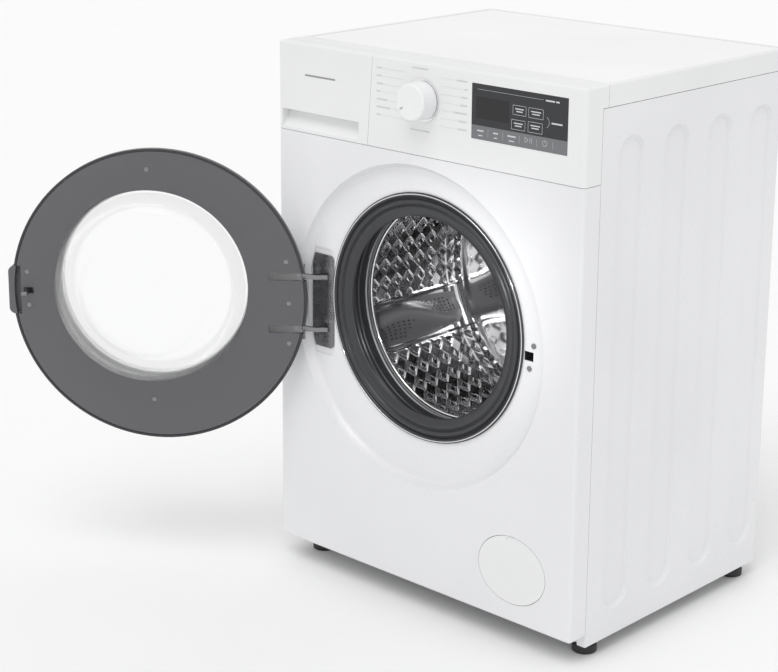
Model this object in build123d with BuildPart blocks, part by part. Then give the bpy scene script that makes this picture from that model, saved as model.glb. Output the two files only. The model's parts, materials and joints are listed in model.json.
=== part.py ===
"""Front loading washing machine, modelled as its separate pieces, in millimetres.

+Z is up, +Y runs from the front face to the back and +X is to the right, seen from the front.
The origin is on the floor, under the middle of the front face. The porthole door stands open.
"""

import os
from math import cos, radians, sin

from build123d import *

os.makedirs("parts", exist_ok=True)

# Cabinet
WIDTH = 597.0
HEIGHT = 850.0
HALF = WIDTH / 2
TOP_DEPTH = 499.0
BODY_DEPTH = 477.0
FRONT_RETURN = 36.0
FRONT_BOTTOM = 40.0
FRONT_TOP = 713.0
SIDE_BOTTOM = 23.0
SKIRT_BOTTOM = 819.0
WORKTOP_FRONT = 48.0
STEEL = 1.5
PLASTIC = 2.5
SEAM = 0.8

# Porthole: the opening, and the dish that the door closes into
PORT_Z = 465.0
PORT_R = 184.0
DISH_R = 248.0
DISH_DEPTH = 13.0
DOOR_X = -12.0
DOOR_Z = 450.0
DOOR_R = 235.0
WINDOW_R = 154.0

# Door hinge: a vertical pin near the left edge of the dish
HINGE_X = -240.0
HINGE_Y = -5.0
OPEN_ANGLE = 143.0
ARM_HEIGHTS = (403.0, 488.0)
ARM_THICKNESS = 7.0
PIN_R = 2.0
KNUCKLE_R = 4.0
RUNNING_FIT = 0.05

# Latch
LATCH_X = 199.0
LATCH_Z = 451.0

# Control panel
DRAWER_SEAM_TOP = -99.0
DRAWER_SEAM_BOTTOM = -109.0
DRAWER_FRONT_DEPTH = 22.0
KNOB_X = 2.0
KNOB_Z = 796.0
DISPLAY_LEFT, DISPLAY_RIGHT = 95.0, 267.0
DISPLAY_BOTTOM, STRIP_TOP, DISPLAY_TOP = 754.5, 774.5, 833.5

# Filter access
FILTER_X = 187.0
FILTER_Z = 122.0
FLAP_A = 63.0
FLAP_B = 52.0

# Tub and drum, on the porthole's axis
TUB_R = 254.0
TUB_WALL = 4.0
TUB_FRONT_Y = 62.0
TUB_BACK_Y = 372.0
TUB_SPLIT_Y = 200.0
DRUM_R = 237.5
DRUM_FRONT_Y = 68.0
DRUM_BACK_Y = 350.0
DRUM_MOUTH_R = 164.0
LIFTER_ANGLES = (203.0, 323.0, 83.0)

# Belt drive
PULLEY_Y = 412.0
PULLEY_WIDTH = 12.0
DRUM_PULLEY_R = 140.0
MOTOR_PULLEY_R = 11.0
MOTOR_X = 40.0
MOTOR_Z = 135.0
BELT_GAP = 0.3
BELT_THICKNESS = 3.0

# Feet
FOOT_X = HALF - 27.0
FOOT_YS = (71.0, 452.0)
FOOT_R = 18.5
FOOT_PAD = 13.0
STEM_R = 5.0

# Worktop
BOARD_INSET = 10.0
BOARD_THICKNESS = 16.0

# Holes in the back, and the pressed cover over the belt
COVER_R = 172.0
COVER_DEPTH = 11.0
TRANSIT_R = 13.0
TRANSIT_SPOTS = [(x, z) for x in (-200, 200) for z in (300, 640)]
INLET_SPOT = (210, 770)
VALVE_COLLAR_R = 17.0
INLET_THREAD_R = 13.2
DRAIN_SPOT = (266, 700)
DRAIN_COLLAR_R = 11.0
DRAIN_SPIGOT_R = 9.5
CABLE_SPOT = (-240, 740)
GLAND_R = 9.0
DRAIN_BORE_R = 7.0
DRAIN_SPIGOT_LENGTH = 18.0

# Program knob and detergent drawer
KNOB_SHAFT_R = 3.0
KNOB_R = 29.0
KNOB_LENGTH = 29.0
TRAY_WIDTH = 158.0
TRAY_HEIGHT = 56.0
TRAY_DEPTH = 200.0
TRAY_X = -199.0
TRAY_Z = 762.0
FILL_SPOT = (-150.0, 150.0)

# Bearings, shaft and heater
HUB_FRONT_Y = 358.0
HUB_BACK_Y = 406.0
FRONT_BEARING_R = 31.0
FRONT_BEARING_Y = 369.0
REAR_BEARING_R = 26.0
SHAFT_R = 15.0
SHAFT_TAIL_R = 12.5
HEATER_DROP = 243.5
HEATER_ROD_R = 3.2
MOTOR_SHAFT_R = 8.0

# Suspension
SPRING_X = 235.0
SPRING_Y = 320.0

# Drain pump
PUMP_FRONT_Y = 24.0
CAP_R = 29.0
PUMP_SHAFT_R = 2.5

# Door, in its own frame: heights above the hinge plane, towards the front when it is shut
SHELL_CREST_R = 178.0
RIM_HEIGHT = 3.0
CREST_HEIGHT = 33.0
RING_FACE = -8.0
TRIM_R = 231.5
WINDOW_COVER_R = 146.0
HANDLE_X = 221.0
HANDLE_Y = 1.0
HANDLE_SPAN = 78.0
SCREW_HEAD_R = 3.8
DOOR_SCREW_SPOTS = [
    (15, 202),
    (11, -172),
    (-202, 62),
    (-206, -5),
    (-206, -70),
    (211, 31),
    (209, -23),
]

# Foot places
FOOT_SPOTS = [(side * FOOT_X, y) for side in (-1, 1) for y in FOOT_YS]
FOOT_NAMES = ("foot_front_left", "foot_back_left", "foot_front_right", "foot_back_right")

PORT_SECTION = Plane(origin=(0, 0, PORT_Z), x_dir=(1, 0, 0), z_dir=(0, 0, 1))
PORT_AXIS = Axis((0, 0, PORT_Z), (0, 1, 0))

open_turn = radians(OPEN_ANGLE)
door_right = Vector(cos(open_turn), -sin(open_turn), 0)
door_out = Vector(-sin(open_turn), -cos(open_turn), 0)
door_origin = Vector(HINGE_X, HINGE_Y, DOOR_Z) + door_right * (DOOR_X - HINGE_X) + door_out * HINGE_Y
DOOR = Plane(origin=door_origin, x_dir=door_right, z_dir=door_out)
DOOR_SECTION = Plane(origin=door_origin, x_dir=door_right, z_dir=(0, 0, -1))
DOOR_AXIS = Axis(door_origin, door_out)
window_origin = door_origin + door_right * -DOOR_X + Vector(0, 0, PORT_Z - DOOR_Z)
WINDOW_SECTION = Plane(origin=window_origin, x_dir=door_right, z_dir=(0, 0, -1))
WINDOW_AXIS = Axis(window_origin, door_out)
WINDOW_SPOT = (-DOOR_X, PORT_Z - DOOR_Z)


def at_depth(depth):
    """A plane facing the front, this far behind the front face."""
    return Plane.XZ.offset(-depth)


def save(builder, name):
    """Label a finished piece and write it."""
    builder.part.label = name
    export_step(builder.part, f"parts/{name}.step")


def turned(profile, section=PORT_SECTION, axis=PORT_AXIS):
    """A ring or disc from its (radius, depth) outline."""
    with BuildPart() as ring:
        with BuildSketch(section):
            with BuildLine():
                Polyline(*profile, close=True)
            make_face()
        revolve(axis=axis)
    return ring.part


def tube(points, radii, outer, inner):
    """A hose along straight runs joined by arcs."""
    with BuildPart() as hose:
        with BuildLine() as route:
            FilletPolyline(*points, radius=radii)
        with BuildSketch(Plane(origin=route.line @ 0, z_dir=route.line % 0)):
            Circle(outer)
            Circle(inner, mode=Mode.SUBTRACT)
        sweep()
    return hose.part


# ---------------------------------------------------------------- cabinet panels


def make_front_panel():
    """Pressed front with side returns, the door dish, the hinge pocket and the filter opening."""
    pocket_x = -218.0
    pocket_z = 448.0
    pocket_depth = 3.5
    with BuildPart() as front_panel:
        with BuildSketch(Plane.XZ):
            with Locations((0, (FRONT_BOTTOM + FRONT_TOP) / 2)):
                Rectangle(WIDTH, FRONT_TOP - FRONT_BOTTOM)
        extrude(amount=-FRONT_RETURN)
        fillet(front_panel.edges().filter_by(Axis.Z).group_by(Axis.Y)[0], radius=6)
        fillet(front_panel.edges().group_by(Axis.Z)[0].filter_by(Axis.X).sort_by(Axis.Y)[0], radius=5)
        offset(amount=-STEEL, openings=front_panel.faces().sort_by(Axis.Y)[-1])
        with BuildSketch(Plane.XZ):
            with Locations((DOOR_X, DOOR_Z)):
                Circle(DISH_R)
        extrude(amount=-5, mode=Mode.SUBTRACT)
        dish_section = Plane(origin=(DOOR_X, 0, DOOR_Z), x_dir=(1, 0, 0), z_dir=(0, 0, 1))
        with BuildSketch(dish_section):
            with BuildLine():
                wall_start = (DISH_R, 0)
                wall_end = (DISH_R - 11, DISH_DEPTH)
                Spline(wall_start, wall_end, tangents=[(-0.5, 1), (-1, 0.12)])
                back_end = (DISH_R - 11, DISH_DEPTH + STEEL)
                back_start = (DISH_R + STEEL, STEEL)
                Polyline(wall_end, (150, DISH_DEPTH), (150, DISH_DEPTH + STEEL), back_end)
                Spline(back_end, back_start, tangents=[(1, -0.12), (0.5, -1)])
                Polyline(back_start, (DISH_R + STEEL, 0), wall_start)
            make_face()
        revolve(axis=Axis((DOOR_X, 0, DOOR_Z), (0, 1, 0)))
        with BuildSketch(at_depth(DISH_DEPTH + STEEL)):
            with Locations((pocket_x, pocket_z)):
                RectangleRounded(60, 176, 14)
            with Locations((DOOR_X, DOOR_Z)):
                Circle(DISH_R - 11.5, mode=Mode.INTERSECT)
        extrude(amount=-pocket_depth)
        with BuildSketch(at_depth(DISH_DEPTH)):
            with Locations((pocket_x, pocket_z)):
                RectangleRounded(57, 173, 12.5)
            with Locations((DOOR_X, DOOR_Z)):
                Circle(DISH_R - 13, mode=Mode.INTERSECT)
        extrude(amount=-pocket_depth, mode=Mode.SUBTRACT)
        with BuildSketch(Plane.XZ):
            with Locations((0, PORT_Z)):
                Circle(PORT_R + STEEL)
        extrude(amount=-25, mode=Mode.SUBTRACT)
        lip = [
            (PORT_R, DISH_DEPTH),
            (PORT_R + STEEL + 0.01, DISH_DEPTH),
            (PORT_R + STEEL + 0.01, DISH_DEPTH + 11),
            (PORT_R, DISH_DEPTH + 11),
        ]
        add(turned(lip))
        with BuildSketch(Plane.XZ):
            with Locations((LATCH_X, LATCH_Z)):
                Rectangle(17, 14)
            with Locations((FILTER_X, FILTER_Z)):
                Ellipse(FLAP_A + SEAM, FLAP_B + SEAM)
        extrude(amount=-25, mode=Mode.SUBTRACT)
    save(front_panel, "front_panel")


def make_side_panel(name, side):
    """One folded side: four long pressed ribs and a welded spring hanger. Side is -1 on the left."""
    rib_count = 4
    rib_width = 62.0
    rib_first = 106.0
    rib_pitch = 107.5
    rib_bottom, rib_top = 64.0, 774.0
    rib_depth = 5.0
    rib_height = rib_top - rib_bottom
    flange = 15.0
    body_mid = (FRONT_RETURN + SEAM + BODY_DEPTH) / 2
    body_run = BODY_DEPTH - FRONT_RETURN - SEAM
    top = SKIRT_BOTTOM - SEAM
    skin = Plane(origin=(side * HALF, 0, 0), x_dir=(0, side, 0), z_dir=(side, 0, 0))
    ribs = [(side * (rib_first + i * rib_pitch), (rib_bottom + rib_top) / 2) for i in range(rib_count)]
    with BuildPart() as side_panel:
        with BuildSketch(skin):
            with Locations((side * body_mid, (SIDE_BOTTOM + top) / 2)):
                Rectangle(body_run, top - SIDE_BOTTOM)
        extrude(amount=-STEEL)
        with BuildSketch(Plane.XY.offset(SIDE_BOTTOM)):
            for y in (FRONT_RETURN + SEAM + STEEL / 2, BODY_DEPTH - 2.5 * STEEL):
                with Locations((side * (HALF - flange / 2), y)):
                    Rectangle(flange, STEEL)
        extrude(amount=top - SIDE_BOTTOM)
        with BuildSketch(skin.offset(-STEEL)):
            with Locations(*ribs):
                SlotOverall(rib_height, rib_width, rotation=90)
        extrude(amount=-rib_depth, taper=48)
        with BuildSketch(skin):
            with Locations(*ribs):
                SlotOverall(rib_height, rib_width, rotation=90)
        extrude(amount=-rib_depth, taper=48, mode=Mode.SUBTRACT)
        with BuildSketch(Plane.XY.offset(772)):
            with Locations((side * (HALF - STEEL - 35), SPRING_Y)):
                Rectangle(71, 18)
            with Locations((side * SPRING_X, SPRING_Y)):
                Circle(3, mode=Mode.SUBTRACT)
        extrude(amount=3)
    save(side_panel, name)


def make_rear_panel():
    """Back sheet with the belt opening, hose and cable holes and transit bolt holes."""
    top = SKIRT_BOTTOM - SEAM
    with BuildPart() as rear_panel:
        with BuildSketch(at_depth(BODY_DEPTH - STEEL)):
            with Locations((0, (FRONT_BOTTOM + top) / 2)):
                Rectangle(WIDTH - 2 * STEEL - 1, top - FRONT_BOTTOM)
            with Locations((0, PORT_Z)):
                Circle(COVER_R - 14, mode=Mode.SUBTRACT)
            with Locations(*TRANSIT_SPOTS):
                Circle(TRANSIT_R, mode=Mode.SUBTRACT)
            with Locations(INLET_SPOT):
                Circle(VALVE_COLLAR_R, mode=Mode.SUBTRACT)
            with Locations(DRAIN_SPOT):
                Circle(DRAIN_COLLAR_R, mode=Mode.SUBTRACT)
            with Locations(CABLE_SPOT):
                Circle(GLAND_R, mode=Mode.SUBTRACT)
        extrude(amount=-STEEL)
    save(rear_panel, "rear_panel")


def make_service_cover():
    """Pressed cover over the belt, standing proud of the back sheet."""
    wall = 1.5
    outline = [
        (0, BODY_DEPTH + COVER_DEPTH - wall),
        (COVER_R - 26, BODY_DEPTH + COVER_DEPTH - wall),
        (COVER_R - 16, BODY_DEPTH),
        (COVER_R, BODY_DEPTH),
        (COVER_R, BODY_DEPTH + wall),
        (COVER_R - 15, BODY_DEPTH + wall),
        (COVER_R - 25, BODY_DEPTH + COVER_DEPTH),
        (0, BODY_DEPTH + COVER_DEPTH),
    ]
    with BuildPart() as service_cover:
        add(turned(outline))
        with BuildSketch(at_depth(BODY_DEPTH + COVER_DEPTH - wall)):
            with Locations((0, PORT_Z)):
                with PolarLocations(95, 3, start_angle=30):
                    SlotOverall(90, 30)
        extrude(amount=-wall - 2)
    save(service_cover, "service_cover")


def make_worktop():
    """Moulded frame with a deep skirt, and the board that lies in it."""
    run = TOP_DEPTH - WORKTOP_FRONT - SEAM
    middle = TOP_DEPTH - run / 2
    ledge = 22.0
    with BuildPart() as worktop_frame:
        with BuildSketch(Plane.XY.offset(SKIRT_BOTTOM)):
            with Locations((0, middle)):
                Rectangle(WIDTH, run)
        extrude(amount=HEIGHT - SKIRT_BOTTOM)
        fillet(worktop_frame.edges().filter_by(Axis.Z).group_by(Axis.Y)[-1], radius=4)
        chamfer(worktop_frame.faces().sort_by(Axis.Z)[-1].edges(), length=1)
        with BuildSketch(Plane.XY.offset(HEIGHT - BOARD_THICKNESS)):
            with Locations((0, middle)):
                Rectangle(WIDTH - 2 * BOARD_INSET, run - 2 * BOARD_INSET)
        extrude(amount=BOARD_THICKNESS, mode=Mode.SUBTRACT)
        with BuildSketch(Plane.XY.offset(SKIRT_BOTTOM)):
            with Locations((0, middle)):
                Rectangle(WIDTH - 2 * PLASTIC, run - 2 * PLASTIC)
        extrude(amount=HEIGHT - SKIRT_BOTTOM - BOARD_THICKNESS - PLASTIC, mode=Mode.SUBTRACT)
        with BuildSketch(Plane.XY.offset(SKIRT_BOTTOM)):
            with Locations((0, middle)):
                Rectangle(WIDTH - 2 * ledge, run - 2 * ledge)
        extrude(amount=HEIGHT, mode=Mode.SUBTRACT)
    save(worktop_frame, "worktop_frame")

    with BuildPart() as worktop_board:
        with BuildSketch(Plane.XY.offset(HEIGHT - BOARD_THICKNESS)):
            with Locations((0, middle)):
                Rectangle(WIDTH - 2 * (BOARD_INSET + SEAM), run - 2 * (BOARD_INSET + SEAM))
        extrude(amount=BOARD_THICKNESS - 0.3)
        chamfer(worktop_board.faces().sort_by(Axis.Z)[-1].edges(), length=0.8)
    save(worktop_board, "worktop_board")


def make_base_tray():
    """Folded pan that closes the bottom and carries the feet."""
    front, back = FRONT_RETURN + SEAM + STEEL + 0.5, BODY_DEPTH - 8
    with BuildPart() as base_tray:
        with BuildSketch(Plane.XY.offset(26)):
            with Locations((0, (front + back) / 2)):
                Rectangle(WIDTH - 2 * STEEL - 1, back - front)
        extrude(amount=13)
        offset(amount=-2, openings=base_tray.faces().sort_by(Axis.Z)[-1])
        with BuildSketch(Plane.XY.offset(20)):
            with Locations(*FOOT_SPOTS):
                Circle(STEM_R + 0.6)
        extrude(amount=20, mode=Mode.SUBTRACT)
    save(base_tray, "base_tray")


def make_top_rails():
    """The two folded rails across the top of the cabinet."""
    with BuildPart() as top_rails:
        for depth in (42.0, 448.0):
            with BuildSketch(at_depth(depth)):
                with Locations((0, 806)):
                    Rectangle(WIDTH - 2 * STEEL - 1, 22)
            extrude(amount=-2)
            with BuildSketch(Plane.XY.offset(815)):
                with Locations((0, depth + 9)):
                    Rectangle(WIDTH - 2 * STEEL - 1, 18)
            extrude(amount=2)
    save(top_rails, "top_rails")


def make_feet():
    """Levelling feet: a rubber pad moulded round a threaded stem, with its nuts."""
    for name, spot in zip(FOOT_NAMES, FOOT_SPOTS):
        with BuildPart() as foot:
            with BuildSketch(Plane.XY):
                with Locations(spot):
                    Circle(FOOT_R)
            extrude(amount=FOOT_PAD)
            fillet(foot.edges().group_by(Axis.Z)[-1], radius=4)
            fillet(foot.edges().group_by(Axis.Z)[0], radius=1.5)
            with BuildSketch(Plane.XY.offset(FOOT_PAD)):
                with Locations(spot):
                    Circle(STEM_R)
            extrude(amount=42)
        save(foot, name)
    with BuildPart() as foot_nuts:
        for low in (19.0, 28.0):
            with BuildSketch(Plane.XY.offset(low)):
                with Locations(*FOOT_SPOTS):
                    RegularPolygon(9.5, 6)
                    Circle(STEM_R + RUNNING_FIT, mode=Mode.SUBTRACT)
            extrude(amount=7)
    save(foot_nuts, "foot_nuts")


# ---------------------------------------------------------------- control panel


def drawer_outline(clearance):
    """Seen from the front, the area of the drawer front, larger by a clearance."""
    with BuildSketch() as outline:
        with BuildLine():
            Polyline(
                (-HALF - clearance, FRONT_TOP + SEAM - clearance),
                (DRAWER_SEAM_BOTTOM + clearance, FRONT_TOP + SEAM - clearance),
                (DRAWER_SEAM_TOP + clearance, HEIGHT + clearance),
                (-HALF - clearance, HEIGHT + clearance),
                close=True,
            )
        make_face()
    return outline.sketch


def make_control_panel():
    """Moulded fascia with its cheeks; the left part is set back behind the drawer front."""
    bottom = FRONT_TOP + SEAM
    with BuildPart() as control_panel:
        with BuildSketch(Plane.YZ.offset(-HALF)):
            with BuildLine():
                Polyline(
                    (0, bottom),
                    (FRONT_RETURN, bottom),
                    (FRONT_RETURN, SKIRT_BOTTOM),
                    (WORKTOP_FRONT, SKIRT_BOTTOM),
                    (WORKTOP_FRONT, HEIGHT),
                    (0, HEIGHT),
                    close=True,
                )
            make_face()
        extrude(amount=WIDTH)
        fillet(control_panel.edges().filter_by(Axis.Z).group_by(Axis.Y)[0].sort_by(Axis.X)[-1], radius=6)
        top_front = control_panel.edges().group_by(Axis.Z)[-1].filter_by(Axis.X).sort_by(Axis.Y)[0]
        fillet(top_front, radius=3)
        with BuildSketch(Plane.XZ):
            add(drawer_outline(0.6))
        extrude(amount=-DRAWER_FRONT_DEPTH - SEAM, mode=Mode.SUBTRACT)
        back_wall = DRAWER_FRONT_DEPTH + SEAM + PLASTIC
        with BuildSketch(at_depth(WORKTOP_FRONT)):
            with Locations(((DRAWER_SEAM_TOP + 4 + HALF - PLASTIC) / 2, (bottom + HEIGHT) / 2)):
                Rectangle(HALF - PLASTIC - DRAWER_SEAM_TOP - 4, HEIGHT - bottom - 2 * PLASTIC)
        extrude(amount=WORKTOP_FRONT - PLASTIC, mode=Mode.SUBTRACT)
        with BuildSketch(at_depth(WORKTOP_FRONT)):
            with Locations(((DRAWER_SEAM_TOP + 4 - HALF + PLASTIC) / 2, (bottom + HEIGHT) / 2)):
                Rectangle(HALF - PLASTIC + DRAWER_SEAM_TOP + 4, HEIGHT - bottom - 2 * PLASTIC)
        extrude(amount=WORKTOP_FRONT - back_wall, mode=Mode.SUBTRACT)
        with BuildSketch(at_depth(DRAWER_FRONT_DEPTH)):
            with Locations((TRAY_X, TRAY_Z)):
                Rectangle(TRAY_WIDTH + 4, TRAY_HEIGHT + 4)
        extrude(amount=-8, mode=Mode.SUBTRACT)
        with BuildSketch(Plane.XZ):
            with Locations(((DISPLAY_LEFT + DISPLAY_RIGHT) / 2, (DISPLAY_BOTTOM + DISPLAY_TOP) / 2)):
                Rectangle(DISPLAY_RIGHT - DISPLAY_LEFT + 0.4, DISPLAY_TOP - DISPLAY_BOTTOM + 0.4)
        extrude(amount=-1.2, mode=Mode.SUBTRACT)
        with BuildSketch(Plane.XZ):
            with Locations((KNOB_X, KNOB_Z)):
                Circle(KNOB_SHAFT_R + 1)
        extrude(amount=-5, mode=Mode.SUBTRACT)
    save(control_panel, "control_panel")


def make_display():
    """Dark lens, the touch key strip under it and the board that carries the rotary switch."""
    middle = (DISPLAY_LEFT + DISPLAY_RIGHT) / 2
    width = DISPLAY_RIGHT - DISPLAY_LEFT
    with BuildPart() as display_window:
        with BuildSketch(at_depth(1.2)):
            with Locations((middle, (STRIP_TOP + DISPLAY_TOP) / 2)):
                Rectangle(width, DISPLAY_TOP - STRIP_TOP - 0.2)
        extrude(amount=1.5)
        fillet(display_window.edges().filter_by(Axis.Y).group_by(Axis.Z)[-1], radius=2)
    save(display_window, "display_window")
    with BuildPart() as key_strip:
        with BuildSketch(at_depth(1.2)):
            with Locations((middle, (DISPLAY_BOTTOM + STRIP_TOP) / 2)):
                Rectangle(width, STRIP_TOP - DISPLAY_BOTTOM - 0.2)
        extrude(amount=1.5)
        fillet(key_strip.edges().filter_by(Axis.Y).group_by(Axis.Z)[0], radius=2)
    save(key_strip, "key_strip")
    with BuildPart() as control_board:
        with BuildSketch(at_depth(14)):
            with Locations((134, 786)):
                Rectangle(276, 108)
        extrude(amount=-1.6)
        with BuildSketch(at_depth(15.6)):
            with Locations((170, 786)):
                with GridLocations(70, 40, 3, 2):
                    Rectangle(26, 16)
        extrude(amount=-9)
        with BuildSketch(at_depth(PLASTIC + 0.3)):
            with Locations((KNOB_X, KNOB_Z)):
                Circle(15)
                Circle(KNOB_SHAFT_R + RUNNING_FIT, mode=Mode.SUBTRACT)
        extrude(amount=PLASTIC + 0.3 - 14)
    save(control_board, "control_board")


def make_knob():
    """Program selector: a fixed trim ring, and the turning knob with its shaft."""
    with BuildPart() as knob_ring:
        with BuildSketch(Plane.XZ):
            with Locations((KNOB_X, KNOB_Z)):
                Circle(KNOB_R + 2.5)
                Circle(KNOB_R - 4, mode=Mode.SUBTRACT)
        extrude(amount=1.6)
    save(knob_ring, "knob_ring")
    knob_axis = Axis((KNOB_X, 0, KNOB_Z), (0, 1, 0))
    knob_section = Plane(origin=(KNOB_X, 0, KNOB_Z), x_dir=(1, 0, 0), z_dir=(0, 0, 1))
    with BuildPart() as program_knob:
        with BuildSketch(knob_section):
            with BuildLine():
                Polyline((0, -2.2), (KNOB_R - 0.5, -2.2), (KNOB_R - 1.5, -KNOB_LENGTH + 4))
                Spline(
                    (KNOB_R - 1.5, -KNOB_LENGTH + 4),
                    (KNOB_R - 5, -KNOB_LENGTH),
                    tangents=[(-0.05, -1), (-1, 0)],
                )
                Polyline((KNOB_R - 5, -KNOB_LENGTH), (0, -KNOB_LENGTH + 1), (0, -2.2))
            make_face()
        revolve(axis=knob_axis)
        with BuildSketch(Plane.XZ.offset(2.2)):
            with Locations((KNOB_X, KNOB_Z)):
                Circle(KNOB_SHAFT_R)
        extrude(amount=-15)
    save(program_knob, "program_knob")


def make_drawer():
    """Detergent drawer: its front with the finger recess, and the tray with three compartments."""
    recess_left, recess_right = -290.0, -127.0
    with BuildPart() as drawer_front:
        with BuildSketch(Plane.XZ):
            add(drawer_outline(0))
        extrude(amount=-DRAWER_FRONT_DEPTH)
        fillet(drawer_front.edges().filter_by(Axis.Z).group_by(Axis.Y)[0], radius=6)
        top_front = drawer_front.edges().group_by(Axis.Z)[-1].filter_by(Axis.X).sort_by(Axis.Y)[0]
        fillet(top_front, radius=3)
        with BuildSketch(Plane.YZ.offset(recess_left)):
            with BuildLine():
                Polyline((-1, 746), (17, 743), (14, 736), (1.5, 718), (-1, 717), close=True)
            make_face()
        extrude(amount=recess_right - recess_left, mode=Mode.SUBTRACT)
        with BuildSketch(at_depth(DRAWER_FRONT_DEPTH)):
            with BuildLine():
                Polyline(
                    (-HALF + PLASTIC, 752),
                    (DRAWER_SEAM_BOTTOM - 1, 752),
                    (DRAWER_SEAM_TOP - 6, HEIGHT - 4),
                    (-HALF + PLASTIC, HEIGHT - 4),
                    close=True,
                )
            make_face()
        extrude(amount=DRAWER_FRONT_DEPTH - 3, mode=Mode.SUBTRACT)
    save(drawer_front, "drawer_front")

    wall = 2.0
    with BuildPart() as drawer_tray:
        with BuildSketch(at_depth(DRAWER_FRONT_DEPTH)):
            with Locations((TRAY_X, TRAY_Z)):
                Rectangle(TRAY_WIDTH, TRAY_HEIGHT)
        extrude(amount=-TRAY_DEPTH)
        tray_middle = DRAWER_FRONT_DEPTH + TRAY_DEPTH / 2
        cell = (TRAY_WIDTH - 4 * wall) / 3
        with BuildSketch(Plane.XY.offset(TRAY_Z + TRAY_HEIGHT / 2)):
            with Locations((TRAY_X, tray_middle)):
                with GridLocations(cell + wall, 1, 3, 1):
                    RectangleRounded(cell, TRAY_DEPTH - 2 * wall, 6)
        extrude(amount=-TRAY_HEIGHT + wall, mode=Mode.SUBTRACT)
    save(drawer_tray, "drawer_tray")


def make_dispenser():
    """Housing that the drawer slides in, with the spout for the filler hose."""
    gap = 1.5
    wall = 2.0
    front = DRAWER_FRONT_DEPTH + 16
    back = DRAWER_FRONT_DEPTH + TRAY_DEPTH + 12
    with BuildPart() as dispenser_housing:
        with BuildSketch(at_depth(front)):
            with Locations((TRAY_X, TRAY_Z)):
                Rectangle(TRAY_WIDTH + 2 * (gap + wall), TRAY_HEIGHT + 2 * (gap + wall))
        extrude(amount=-(back - front))
        with BuildSketch(at_depth(front)):
            with Locations((TRAY_X, TRAY_Z)):
                Rectangle(TRAY_WIDTH + 2 * gap, TRAY_HEIGHT + 2 * gap)
        extrude(amount=-(back - front - wall), mode=Mode.SUBTRACT)
        with BuildSketch(Plane.XY.offset(TRAY_Z - TRAY_HEIGHT / 2 - gap)):
            with Locations(FILL_SPOT):
                Circle(19)
        extrude(amount=-14)
        with BuildSketch(Plane.XY.offset(TRAY_Z - TRAY_HEIGHT / 2)):
            with Locations(FILL_SPOT):
                Circle(16)
        extrude(amount=-30, mode=Mode.SUBTRACT)
    save(dispenser_housing, "dispenser_housing")


# ---------------------------------------------------------------- gasket, tub and drum


def make_gasket():
    """Rubber bellows from the porthole's lip to the tub's neck, and its two clamp rings."""
    profile = [
        (191.0, 9.2),
        (180.0, 8.8),
        (166.0, 10.5),
        (153.6, 16.0),
        (154.4, 18.2),
        (167.0, 14.5),
        (174.0, 17.5),
        (177.5, 24.0),
        (178.0, 40.0),
        (174.0, 44.0),
        (169.0, 45.5),
        (168.0, 52.0),
        (168.0, 60.0),
        (171.2, 60.0),
        (171.4, 49.2),
        (175.7, 49.2),
        (175.7, 61.4),
        (179.0, 61.4),
        (179.4, 48.0),
        (183.6, 42.0),
        (183.6, 12.7),
        (191.0, 12.7),
    ]
    with BuildPart() as gasket:
        add(turned(profile))
        with BuildSketch(PORT_SECTION):
            with Locations((188.0, 9.0)):
                Circle(1.4)
        revolve(axis=PORT_AXIS, mode=Mode.SUBTRACT)
    save(gasket, "door_gasket")
    with BuildPart() as gasket_clamps:
        with BuildSketch(PORT_SECTION):
            with Locations((188.0, 9.4)):
                Circle(0.9)
            with Locations((180.8, 55.0)):
                Rectangle(2, 8)
        revolve(axis=PORT_AXIS)
    save(gasket_clamps, "gasket_clamps")


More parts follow.
